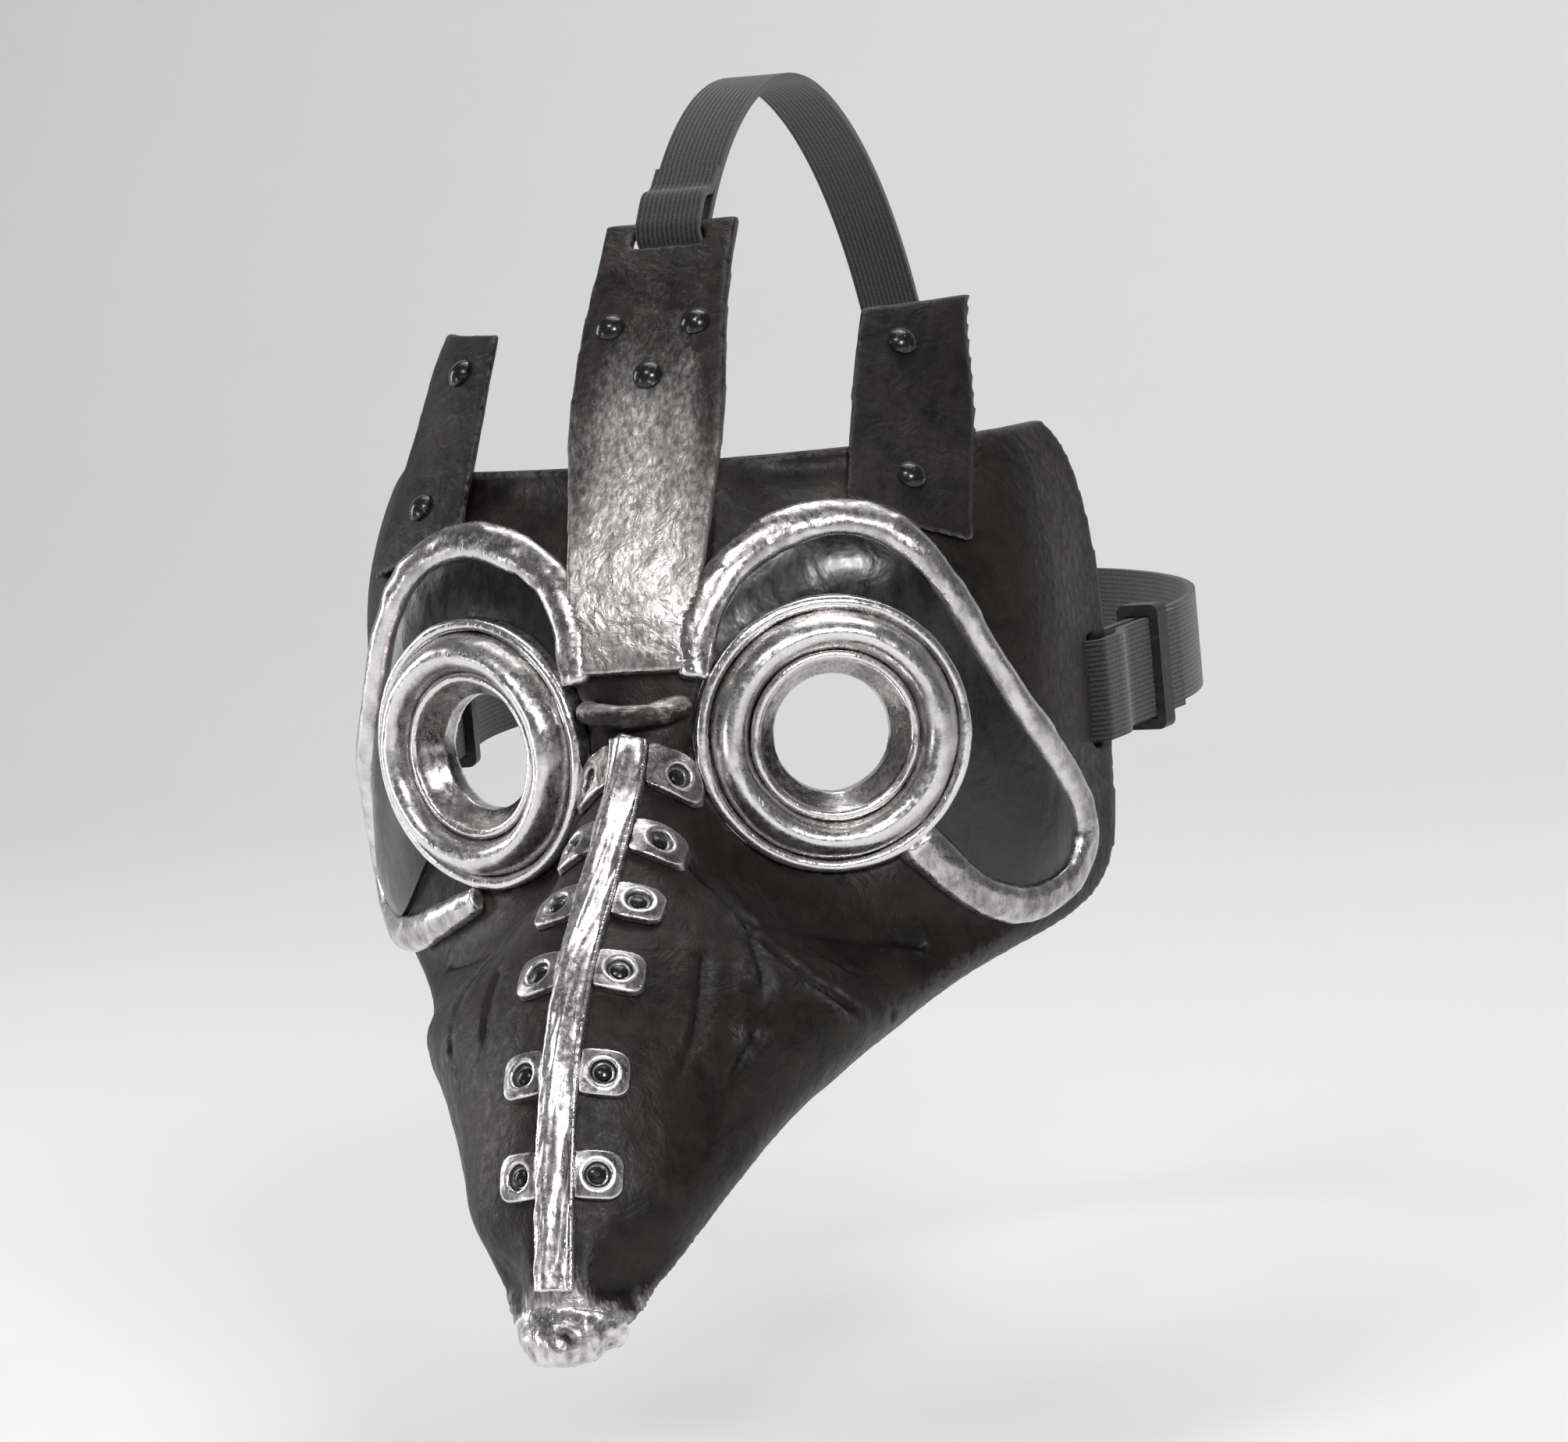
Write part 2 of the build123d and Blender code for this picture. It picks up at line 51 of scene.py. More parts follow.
def perlin(p):
    i = np.floor(p).astype(int)
    f = p - i
    u = f * f * f * (f * (f * 6 - 15) + 10)
    i &= 255
    total = np.zeros(len(p))
    for dx in (0, 1):
        for dy in (0, 1):
            for dz in (0, 1):
                row = PERM[(i[:, 0] + dx) & 255] + ((i[:, 1] + dy) & 255)
                h = PERM[PERM[row] + ((i[:, 2] + dz) & 255)]
                d = f - np.array([dx, dy, dz])
                w = np.where(dx, u[:, 0], 1 - u[:, 0]) * np.where(dy, u[:, 1], 1 - u[:, 1])
                w = w * np.where(dz, u[:, 2], 1 - u[:, 2])
                total += w * (GRAD[h] * d).sum(1)
    return total * 1.5


def fbm(p, octaves=3):
    total = np.zeros(len(p))
    for k in range(octaves):
        total += perlin(p * 2**k + 17.3 * k) / 2**k
    return total


def ridged(p, octaves=3):
    total = np.zeros(len(p))
    for k in range(octaves):
        total += (1 - 2.2 * np.abs(perlin(p * 2**k + 31.7 * k))) / 2**k
    return total


def smooth01(v, a, b):
    t = np.clip((v - a) / (b - a), 0, 1)
    return t * t * (3 - 2 * t)


def polyline_distance(p, line):
    best = np.full(len(p), 1e9)
    line = np.array(line, float)
    for a, b in zip(line[:-1], line[1:]):
        ab = b - a
        t = np.clip(((p - a) @ ab) / (ab @ ab), 0, 1)
        best = np.minimum(best, np.linalg.norm(p - a - t[:, None] * ab, axis=1))
    return best


# ------------------------------------------------------------ sculpting copies of the solids
def coords(me):
    co = np.zeros(len(me.vertices) * 3)
    me.vertices.foreach_get("co", co)
    return co.reshape(-1, 3) * 1000


def normals(me):
    n = np.zeros(len(me.vertices) * 3)
    me.vertices.foreach_get("normal", n)
    return n.reshape(-1, 3)


def edges(me):
    e = np.zeros(len(me.edges) * 2, int)
    me.edges.foreach_get("vertices", e)
    return e.reshape(-1, 2)


def spread(values, e, count, rounds):
    deg = np.bincount(e[:, 0], minlength=count) + np.bincount(e[:, 1], minlength=count)
    deg = np.maximum(deg, 1)
    for _ in range(rounds):
        acc = np.bincount(e[:, 0], values[e[:, 1]], count) + np.bincount(e[:, 1], values[e[:, 0]], count)
        values = 0.5 * values + 0.5 * acc / deg
    return values


def store_curvature(me, rounds=10, gain=1.0):
    """Float attribute curv: 0.5 flat, towards 1 on crowns and edges, towards 0 in hollows."""
    co, n, e = coords(me), normals(me), edges(me)
    count = len(co)
    d = co[e[:, 1]] - co[e[:, 0]]
    length = np.linalg.norm(d, axis=1) + 1e-9
    s0 = -(d * n[e[:, 0]]).sum(1) / length
    s1 = (d * n[e[:, 1]]).sum(1) / length
    deg = np.maximum(np.bincount(e[:, 0], minlength=count) + np.bincount(e[:, 1], minlength=count), 1)
    c = (np.bincount(e[:, 0], s0, count) + np.bincount(e[:, 1], s1, count)) / deg
    c = spread(c, e, count, rounds)
    at = me.attributes.new("curv", "FLOAT", "POINT")
    at.data.foreach_set("value", np.clip(0.5 + gain * c * 2.5, 0, 1).astype(np.float32))


def store(me, name, values):
    at = me.attributes.new(name, "FLOAT", "POINT")
    at.data.foreach_set("value", np.asarray(values, np.float32))


def sculpt(
    node, name, voxel, smooth, shape=None, body="mask", rounds=10, gain=1.0, extra=None
):
    """A finer copy of a CAD node: remeshed, softened, then moved along its normals.

    shape(points, normals) gives the movement of each point in millimetres.
    """
    ob = bpy.data.objects.new(name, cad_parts[node].data.copy())
    bpy.context.scene.collection.objects.link(ob)
    mod = ob.modifiers.new("remesh", "REMESH")
    mod.mode = "VOXEL"
    mod.voxel_size = voxel * MM
    soft = ob.modifiers.new("soft", "SMOOTH")
    soft.factor = 0.5
    soft.iterations = smooth
    dg = bpy.context.evaluated_depsgraph_get()
    me = bpy.data.meshes.new_from_object(ob.evaluated_get(dg))
    ob.modifiers.clear()
    ob.data = me
    me.materials.clear()
    if shape:
        co, n = coords(me), normals(me)
        moved = co + n * shape(co, n)[:, None]
        me.vertices.foreach_set("co", (moved * MM).ravel())
        me.update()
    store_curvature(me, rounds, gain)
    if extra:
        extra(me)
    me.polygons.foreach_set("use_smooth", np.ones(len(me.polygons), bool))
    me.update()
    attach(ob, body)
    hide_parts(node)
    return ob


# ------------------------------------------------------------ material helper
class Mat:
    def __init__(self, name):
        self.m = bpy.data.materials.new(name)
        self.m.use_nodes = True
        self.t = self.m.node_tree
        self.b = self.t.nodes["Principled BSDF"]
        self.tc = self.t.nodes.new("ShaderNodeTexCoord").outputs["Object"]
        self.mm = self.vec("MULTIPLY", self.tc, (1000, 1000, 1000))

    def n(self, kind, **kw):
        node = self.t.nodes.new("ShaderNode" + kind)
        for k, v in kw.items():
            setattr(node, k, v)
        return node

    def put(self, socket, v):
        if isinstance(v, bpy.types.NodeSocket):
            self.t.links.new(v, socket)
        else:
            socket.default_value = v

    def vec(self, op, a, b):
        node = self.n("VectorMath", operation=op)
        self.put(node.inputs[0], a)
        self.put(node.inputs[1], b)
        return node.outputs[0]

    def math(self, op, a, b=0.0, clamp=False):
        node = self.n("Math", operation=op, use_clamp=clamp)
        self.put(node.inputs[0], a)
        self.put(node.inputs[1], b)
        return node.outputs[0]

    def noise(self, scale, detail=4, rough=0.55, distort=0.0, stretch=(1, 1, 1), offset=(0, 0, 0)):
        node = self.n("TexNoise")
        v = self.vec("MULTIPLY", self.mm, stretch)
        if any(offset):
            v = self.vec("ADD", v, offset)
        self.put(node.inputs["Vector"], v)
        node.inputs["Scale"].default_value = scale
        node.inputs["Detail"].default_value = detail
        node.inputs["Roughness"].default_value = rough
        node.inputs["Distortion"].default_value = distort
        return node.outputs["Fac"]

    def voronoi(self, scale, feature="F1", stretch=(1, 1, 1)):
        node = self.n("TexVoronoi", feature=feature)
        self.put(node.inputs["Vector"], self.vec("MULTIPLY", self.mm, stretch))
        node.inputs["Scale"].default_value = scale
        return node.outputs["Distance"]

    def step(self, v, a, b, lo=0.0, hi=1.0):
        node = self.n("MapRange", interpolation_type="SMOOTHSTEP")
        self.put(node.inputs["Value"], v)
        for key, val in (("From Min", a), ("From Max", b), ("To Min", lo), ("To Max", hi)):
            self.put(node.inputs[key], val)
        return node.outputs[0]

    def mix(self, fac, a, b):
        node = self.n("Mix", data_type="RGBA")
        self.put(node.inputs[0], fac)
        self.put(node.inputs[6], (*a, 1) if isinstance(a, tuple) and len(a) == 3 else a)
        self.put(node.inputs[7], (*b, 1) if isinstance(b, tuple) and len(b) == 3 else b)
        return node.outputs[2]

    def attr(self, name):
        return self.n("Attribute", attribute_name=name).outputs["Fac"]

    def bump(self, height, strength, distance, normal=None):
        node = self.n("Bump")
        node.inputs["Strength"].default_value = strength
        node.inputs["Distance"].default_value = distance * MM
        self.put(node.inputs["Height"], height)
        if normal is not None:
            self.put(node.inputs["Normal"], normal)
        return node.outputs[0]

    def done(self, color, rough, metal=0.0, normal=None, spec=0.5, coat=0.0, coat_rough=0.1, sheen=0.0):
        if not isinstance(color, bpy.types.NodeSocket):
            color = (*color, 1)
        self.put(self.b.inputs["Base Color"], color)
        self.put(self.b.inputs["Roughness"], rough)
        self.put(self.b.inputs["Metallic"], metal)
        if normal is not None:
            self.put(self.b.inputs["Normal"], normal)
        self.b.inputs["Specular IOR Level"].default_value = spec
        self.b.inputs["Coat Weight"].default_value = coat
        self.b.inputs["Coat Roughness"].default_value = coat_rough
        self.b.inputs["Sheen Weight"].default_value = sheen
        return self.m


def silver(name, streak=(1, 1, 0.12), dark=0.5, bright=0.6, mottle=0.09, rough=0.28, relief=0.35):
    """Antique silver: brushed, scratched, clouded with dark patina and black in its hollows."""
    m = Mat(name)
    curv = m.attr("curv")
    brush = m.noise(1.5, 5, 0.68, 0.15, streak)
    cloud = m.noise(mottle, 6, 0.66, 0.9)
    grit = m.noise(0.8, 4, 0.6, 0.3, offset=(9, 4, 2))
    hollow = m.step(curv, 0.46, 0.20)
    crown = m.step(curv, 0.56, 0.80)
    blend = m.math("ADD", m.math("MULTIPLY", cloud, 0.84), m.math("MULTIPLY", grit, 0.16))
    stain = m.math("MULTIPLY", m.step(blend, 0.44, 0.62), dark)
    stain = m.math("ADD", stain, m.math("MULTIPLY", hollow, 0.9), clamp=True)
    stain = m.math("MULTIPLY", stain, m.math("SUBTRACT", 1.0, m.math("MULTIPLY", crown, 0.8)))
    tone = m.step(brush, 0.30, 0.68)
    dull = (bright * 0.52, bright * 0.485, bright * 0.48)
    clean = (bright, bright * 0.955, bright * 0.95)
    metal_c = m.mix(tone, dull, clean)
    metal_c = m.mix(m.math("MULTIPLY", crown, 0.75), metal_c, (0.92, 0.90, 0.90))
    base = m.mix(stain, metal_c, (0.030, 0.026, 0.027))
    r = m.math("ADD", m.step(grit, 0.3, 0.7, rough - 0.07, rough + 0.12), m.math("MULTIPLY", stain, 0.14))
    scratch = m.step(m.noise(2.4, 2, 0.5, 0.0, (1.0, 1.0, 0.05), (3, 1, 7)), 0.64, 0.70)
    nor = m.bump(brush, 0.22, 0.10)
    nor = m.bump(m.noise(0.22, 3, 0.5, 0.3), relief, 0.8, nor)
    nor = m.bump(m.math("MULTIPLY", scratch, -1.0), 0.35, 0.06, nor)
    return m.done(base, r, m.math("SUBTRACT", 1.0, m.math("MULTIPLY", stain, 0.35)), nor, 0.5, 0.1, 0.15)


BLACK_TINT = (0.0064, 0.0046, 0.0044)


def black_leather(
    name, silver_attr=None, streak=(1, 1, 0.15), tint=BLACK_TINT, gloss=0.42, soft_paint=0.5, grain_in=1.2
):
    """Black hide: pores and creases, waxy sheen, silver dragged over the high spots, painted shade in the
    hollows, and painted highlight on crease crowns (partly wear) and along the rim.
    """
    m = Mat(name)
    curv = m.attr("curv")
    grain = m.voronoi(1.5, "DISTANCE_TO_EDGE")
    pores = m.noise(2.4, 5, 0.65)
    soft = m.noise(0.09, 4, 0.6, 0.5)
    wear_and_sheen = m.noise(0.5, 6, 0.72, 0.4)
    color = m.mix(m.step(soft, 0.36, 0.66), tint, (tint[0] * 2.8, tint[1] * 2.7, tint[2] * 2.7))
    # crease crowns lightened to grey in noisy patches: partly worn crests, partly painted highlight
    crown = m.math("MULTIPLY", m.step(curv, 0.56, 0.85), m.step(wear_and_sheen, 0.38, 0.62))
    color = m.mix(m.math("MULTIPLY", crown, 0.5), color, (0.10, 0.094, 0.095))
    # painted shade: creases and hollows darkened towards black by curvature
    color = m.mix(m.step(curv, 0.44, 0.15, 0.0, 0.8), color, (0.0015, 0.0015, 0.0015))
    # painted highlight: a thin light line along the rim edge of the shell
    color = m.mix(m.math("MULTIPLY", m.attr("rim"), 0.85), color, (0.10, 0.092, 0.115))
    rough = m.step(wear_and_sheen, 0.3, 0.7, gloss - 0.07, gloss + 0.14)
    metallic = 0.0
    if silver_attr:
        amount = m.attr(silver_attr)
        drag = m.noise(1.1, 5, 0.66, 0.2, streak)
        fleck = m.noise(0.16, 6, 0.70, 0.6, offset=(2, 8, 5))
        both = m.math("ADD", m.math("MULTIPLY", drag, 0.55), m.math("MULTIPLY", fleck, 0.45))
        from_grain = m.math("MULTIPLY", m.math("SUBTRACT", both, 0.5), grain_in)
        from_shape = m.math("MULTIPLY", m.math("SUBTRACT", curv, 0.5), 0.35)
        lift = m.math("ADD", from_grain, from_shape)
        paint = m.step(m.math("ADD", amount, lift), 0.65 - 0.5 * soft_paint, 0.65 + 0.5 * soft_paint)
        tone = m.mix(m.step(drag, 0.32, 0.66), (0.34, 0.315, 0.312), (0.66, 0.63, 0.625))
        color = m.mix(paint, color, tone)
        metallic = m.math("MULTIPLY", paint, 0.95)
        rough = m.math("SUBTRACT", rough, m.math("MULTIPLY", paint, 0.06))
    nor = m.bump(m.math("MINIMUM", grain, 0.14), 0.16, 0.2)
    nor = m.bump(pores, 0.12, 0.15, nor)
    nor = m.bump(m.noise(0.22, 5, 0.6, 0.8), 0.3, 1.4, nor)
    return m.done(color, rough, metallic, nor, 0.26, 0.0, 0.25)


# ------------------------------------------------------------ the leather skin
# Each crease: points on the wearer's left of the skin, width, depth. All in millimetres.
STAR_CREASE = [(11, -26, -18), (16.5, -25.5, -25), (23.5, -30, -32)]
STAR_CREASE += [(30, -30.5, -38), (36, -32, -43.5), (45, -28, -50)]
CREASES = [
    (STAR_CREASE, 1.5, 1.1),
    ([(23.5, -30, -32), (34, -12, -37), (48, 3.5, -42)], 1.3, 0.9),
    ([(23.5, -30, -32), (28.7, -40, -39.5), (29.5, -51, -49)], 1.5, 0.9),
    ([(30, -20, -33), (38, -17, -42), (47, -15, -53)], 1.2, 0.7),
    ([(20, -47, -35), (21, -61, -47), (19, -72, -58)], 1.6, 0.7),
    ([(29, -51, -49), (26, -62, -58), (20, -74, -70)], 1.5, 0.6),
    ([(40, 3, -36), (52, 12, -42)], 1.1, 0.6),
]


RIM = [(74, 66, -8), (73, 62, -24), (71, 54, -37), (56, 20, -49), (42, -8, -58), (32.5, -32, -66)]
RIM += [(25, -55, -76), (18, -70, -86), (10.9, -82, -96)]


def tip_mask(p):
    return smooth01(-p[:, 2], 80, 95)


def skin_shape(p, n):
    q = p.copy()
    q[:, 0] = np.abs(q[:, 0]) + 0.8 * perlin(p * 0.05)
    d = np.zeros(len(p))
    wob = q + 1.2 * np.stack([perlin(p * 0.07), perlin(p * 0.07 + 50), perlin(p * 0.07 + 90)], 1)
    for line, width, depth in CREASES:
        dist = polyline_distance(wob, line)
        groove = np.exp(-((dist / (0.55 * width)) ** 2))
        shoulder = np.exp(-(((dist - 2.0 * width) / (1.4 * width)) ** 2))
        d += -1.1 * depth * groove + 0.3 * depth * shoulder
    beak = smooth01(-p[:, 1], 8, 30)
    side = smooth01(q[:, 0], 12, 20)
    along = np.stack([q[:, 0] * 0.10, p[:, 1] * 0.03 - p[:, 2] * 0.02, p[:, 2] * 0.035], 1)
    d += 0.3 * beak * side * fbm(along * 1.6, 2)
    d += 0.15 * smooth01(-p[:, 2], 28, 40) * side * fbm(p * 0.05 + 9.0, 2)
    d += 0.8 * tip_mask(p) * ridged(p * 0.12, 2)
    d += 0.06 * fbm(p * 0.25, 2)
    outer = np.where(n[:, 1] * (p[:, 1] - 40) + n[:, 0] * p[:, 0] > 0, 1.0, 0.5)
    return np.clip(d * outer, -1.5, 1.1)


def skin_silver_and_rim_highlight(me):
    p = coords(me)
    ax = np.abs(p[:, 0])
    q = p.copy()
    q[:, 0] = ax
    # painted highlight: the thin light line along the rim edge, stored as attribute rim
    rim_highlight = np.exp(-((polyline_distance(q, RIM) / 1.5) ** 2))
    beak = smooth01(-p[:, 1], 10, 40)
    flank = smooth01(ax, 14, 22)
    tip = tip_mask(p)
    crest = np.exp(-((ax / 6.0) ** 2)) * smooth01(-p[:, 2], 74, 92) * (p[:, 1] < -78)
    value = 0.12 + 0.10 * beak * flank + 0.36 * tip + 0.5 * crest + 0.10 * fbm(p * 0.05, 2)
    cheek = np.exp(-(((p[:, 2] + 38) / 8) ** 2)) * smooth01(ax, 20, 30) * smooth01(-p[:, 1], -30, 5)
    store(me, "paint", np.clip(value + 0.16 * cheek, 0, 1))
    store(me, "rim", rim_highlight)


skin = sculpt(
    "face_shell", "leather_skin", 0.75, 4, skin_shape,
    rounds=8, gain=2.4, extra=skin_silver_and_rim_highlight,
)
skin.data.materials.append(black_leather("leather_skin", "paint"))


def tip_shape(p, n):
    return np.clip(0.8 * tip_mask(p) * ridged(p * 0.12, 2) + 0.06 * fbm(p * 0.25, 2), -1.2, 1.0)


tip = sculpt(
    "beak_tip", "beak_tip_cap", 0.5, 4, tip_shape,
    rounds=8, gain=2.0, extra=skin_silver_and_rim_highlight,
)


# ------------------------------------------------------------ silver fittings
def dents(amount, scale, seed=0.0, octaves=3):
    return lambda p, n: amount * fbm(p * scale + seed, octaves)


def bead_shape(p, n):
    return 0.2 * fbm(p * 0.10 + 4.0, 2)


def frame_shape(p, n):
    return 0.4 * fbm(p * 0.08, 2) + 0.16 * ridged(p * np.array([0.18, 0.18, 0.12]) + 8.0, 1) + 0.15


ring_metal = silver("goggle_silver", (1, 1, 0.14), 0.60, 0.58, 0.06, 0.24, 0.16)
bezel_metal = silver("bezel_silver", (1, 1, 0.2), 0.45, 0.60, 0.08, 0.20, 0.16)
bead_metal = silver("bead_silver", (1, 1, 0.3), 0.35, 0.70, 0.08, 0.20, 0.2)
frame_metal = silver("frame_silver", (0.7, 0.7, 0.25), 0.5, 0.54, 0.08, 0.25, 0.4)
ridge_metal = silver("ridge_silver", (1, 0.2, 0.2), 0.2, 0.92, 0.12, 0.26, 0.3)
tab_metal = silver("tab_silver", (1, 1, 0.5), 0.35, 0.40, 0.12, 0.30, 0.3)
tip_metal = silver("tip_silver", (1, 1, 0.6), 0.95, 0.72, 0.11, 0.24, 0.5)
tip.data.materials.append(tip_metal)

RIVETS = coords(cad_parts["tab_rivets_left"].data)
ORDER = np.argsort(RIVETS[:, 2])
GROUPS = np.split(RIVETS[ORDER], np.where(np.diff(RIVETS[ORDER][:, 2]) > 3)[0] + 1)
HOLES = np.array([g.mean(0) for g in GROUPS])


def tab_shape(p, n):
    q = p.copy()
    q[:, 0] = np.abs(q[:, 0])
    near = np.min(np.linalg.norm(q[:, None, :] - HOLES[None], axis=2), axis=1)
    rim = 0.28 * np.exp(-(((near - 3.3) / 0.8) ** 2))
    return rim - 0.2 * smooth01(near, 4.2, 6.0) + 0.08 * fbm(p * 0.25, 2)


for side, sign in SIDES:
    cup = sculpt(
        "eye_cup_" + side, "goggle_ring_" + side, 0.5, 3, dents(0.28, 0.07, 3.0 + sign),
        rounds=12, gain=3.0,
    )
    cup.data.materials.append(ring_metal)
    bez = sculpt(
        "eye_bezel_" + side, "inner_ring_" + side, 0.4, 2, dents(0.16, 0.12, 7.0 + sign),
        rounds=10, gain=2.6,
    )
    bez.data.materials.append(bezel_metal)
    fl = sculpt(
        "eye_flange_" + side, "outer_bead_" + side, 0.4, 2, bead_shape,
        rounds=8, gain=2.0,
    )
    fl.data.materials.append(bead_metal)
    fr = sculpt(
        "brow_frame_" + side, "brow_frame_tube_" + side, 0.45, 8, frame_shape,
        rounds=10, gain=2.2,
    )
    fr.data.materials.append(frame_metal)
    tb = sculpt(
        "spine_tabs_" + side, "spine_tab_set_" + side, 0.25, 5, tab_shape,
        rounds=8, gain=1.8,
    )
    tb.data.materials.append(tab_metal)


def ridge_shape(p, n):
    run = -p[:, 2]
    q = np.stack([p[:, 0] * 0.42 + run * 0.05, run * 0.055, p[:, 0] * 0.1], 1)
    roof = 0.55 - 1.3 * np.abs((p[:, 0] + 0.8) / 3.6) ** 1.3
    top = smooth01(-n[:, 1] + n[:, 2], 0.2, 0.8)
    return top * (roof + 0.4 * ridged(q, 2)) + 0.12 * fbm(p * 0.2 + 5.0, 2)


ridge = sculpt(
    "spine_ridge", "spine_ridge_cast", 0.4, 12, ridge_shape, rounds=8, gain=2.0
)
ridge.data.materials.append(ridge_metal)


# ------------------------------------------------------------ straps and the fold at the bridge
def strap_paint(me):
    p = coords(me)
    up = p[:, 2]
    v = 1.12 - 0.48 * smooth01(up, 18, 56) - 0.42 * smooth01(up, 50, 86)
    v += 0.12 * fbm(p * np.array([0.10, 0.04, 0.03]), 2) - 0.25 * smooth01(np.abs(p[:, 0]), 8, 14)
    store(me, "paint", np.clip(v, 0, 1))


def side_paint(me):
    p = coords(me)
    store(me, "paint", np.clip(0.26 - 0.12 * smooth01(p[:, 2], 50, 72) + 0.12 * fbm(p * 0.06, 2), 0, 1))


def roll_silver_and_top_highlight(me):
    p = coords(me)
    # more silver on the top of the fold: partly dry-brushed silver, partly painted highlight where light
    # falls on the top
    store(me, "paint", np.clip(0.3 + 0.35 * smooth01(p[:, 2], 7, 10) + 0.1 * fbm(p * 0.2, 2), 0, 1))


def strap_shape(p, n):
    return 0.22 * fbm(p * np.array([0.12, 0.05, 0.05]), 3)


strap = sculpt(
    "centre_strap", "forehead_strap_centre", 0.55, 4, strap_shape,
    rounds=8, gain=1.2, extra=strap_paint,
)
strap.data.materials.append(
    black_leather("strap_centre", "paint", (1, 1, 0.07), (0.008, 0.0062, 0.006), 0.36, 0.85, 0.75)
)
side_leather = black_leather("strap_side", "paint", (1, 1, 0.06), (0.0055, 0.0045, 0.0045), 0.42, 0.5, 1.0)
for side, sign in SIDES:
    st = sculpt(
        "side_strap_" + side, "forehead_strap_" + side, 0.55, 3, strap_shape,
        rounds=8, gain=1.2, extra=side_paint,
    )
    st.data.materials.append(side_leather)

roll = sculpt(
    "bridge_roll", "bridge_fold", 0.4, 5, dents(0.3, 0.18, 2.0),
    rounds=3, gain=1.6, extra=roll_silver_and_top_highlight,
)
roll.data.materials.append(black_leather("bridge_fold", "paint", (0.3, 1, 1)))


# ------------------------------------------------------------ carried-over solids with their own finishes
def dress(node, material):
    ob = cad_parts[node]
    ob.data.materials.clear()
    ob.data.materials.append(material)


def gloss_panel():
    m = Mat("panel_gloss")
    cloud = m.noise(0.06, 4, 0.55, 0.8)
    smear = m.noise(0.5, 5, 0.65, 0.4, (1, 1, 0.3))
    color = m.mix(m.step(cloud, 0.35, 0.7), (0.004, 0.0036, 0.0042), (0.016, 0.0145, 0.016))
    rough = m.step(smear, 0.3, 0.75, 0.22, 0.42)
    nor = m.bump(m.noise(0.14, 3, 0.5, 0.4), 0.35, 1.0)
    nor = m.bump(m.noise(2.2, 4, 0.6), 0.06, 0.1, nor)
    return m.done(color, rough, 0.0, nor, 0.5, 0.25, 0.12)


def dark_metal(name, worn=0.3):
    m = Mat(name)
    spots = m.noise(0.9, 5, 0.65, 0.3)
    fine = m.noise(3.5, 4, 0.6)
    w = m.step(spots, 0.62 - worn * 0.2, 0.75)
    color = m.mix(w, (0.02, 0.019, 0.021), (0.34, 0.33, 0.33))
    rough = m.step(fine, 0.3, 0.7, 0.16, 0.34)
    nor = m.bump(fine, 0.15, 0.1)
    return m.done(color, rough, m.math("ADD", 0.55, m.math("MULTIPLY", w, 0.45)), nor, 0.5, 0.3, 0.08)


def elastic(name, flat_axis=2):
    m = Mat(name)
    across = "Z" if flat_axis == 2 else "X"
    rib = m.n("TexWave", wave_type="BANDS", bands_direction=across, wave_profile="SIN")
    m.put(rib.inputs["Vector"], m.mm)
    rib.inputs["Scale"].default_value = 0.32
    rib.inputs["Distortion"].default_value = 0.25
    rib.inputs["Detail"].default_value = 1.0
    pick = m.voronoi(1.25, "F1", (1, 1, 1.6))
    fuzz = m.noise(4.0, 4, 0.7)
    h = m.math("ADD", m.math("MULTIPLY", rib.outputs["Fac"], 0.7), m.math("MULTIPLY", pick, 0.5))
    color = m.mix(m.step(h, 0.25, 0.95), (0.006, 0.006, 0.0065), (0.040, 0.039, 0.041))
    color = m.mix(m.step(fuzz, 0.55, 0.8, 0.0, 0.3), color, (0.07, 0.068, 0.07))
    return m.done(color, m.step(fuzz, 0.3, 0.7, 0.7, 0.92), 0.0, m.bump(h, 0.5, 0.3), 0.3, 0.0, 0.3, 0.25)


def slider_plastic():
    m = Mat("slider_plastic")
    grain = m.noise(2.4, 5, 0.6)
    rub = m.noise(0.4, 5, 0.7, 0.3)
    color = m.mix(m.step(rub, 0.5, 0.75), (0.012, 0.012, 0.013), (0.045, 0.044, 0.046))
    return m.done(color, m.step(grain, 0.3, 0.7, 0.38, 0.55), 0.0, m.bump(grain, 0.2, 0.12), 0.45)


panel = gloss_panel()
stud_metal = dark_metal("stud_metal", 0.25)
rivet_metal = dark_metal("rivet_metal", 0.1)
band_cloth = elastic("band_elastic", 2)
crown_cloth = elastic("crown_elastic", 0)
slide = slider_plastic()
dress("centre_strap_studs", stud_metal)
dress("back_band", band_cloth)
dress("crown_band", crown_cloth)
for side, sign in SIDES:
    dress("eye_panel_" + side, panel)
    dress("side_strap_studs_" + side, stud_metal)
    dress("tab_rivets_" + side, rivet_metal)
    dress("slider_" + side, slide)


# ------------------------------------------------------------ padded brow lining
def foam_cloth():
    m = Mat("pad_cloth")
    weave = m.voronoi(1.6, "F1")
    fuzz = m.noise(3.0, 4, 0.7)
    color = m.mix(m.step(weave, 0.1, 0.6), (0.045, 0.044, 0.046), (0.014, 0.014, 0.015))
    rough = m.step(fuzz, 0.3, 0.7, 0.75, 0.95)
    return m.done(color, rough, 0.0, m.bump(weave, 0.35, 0.25), 0.3, 0.0, 0.3, 0.35)


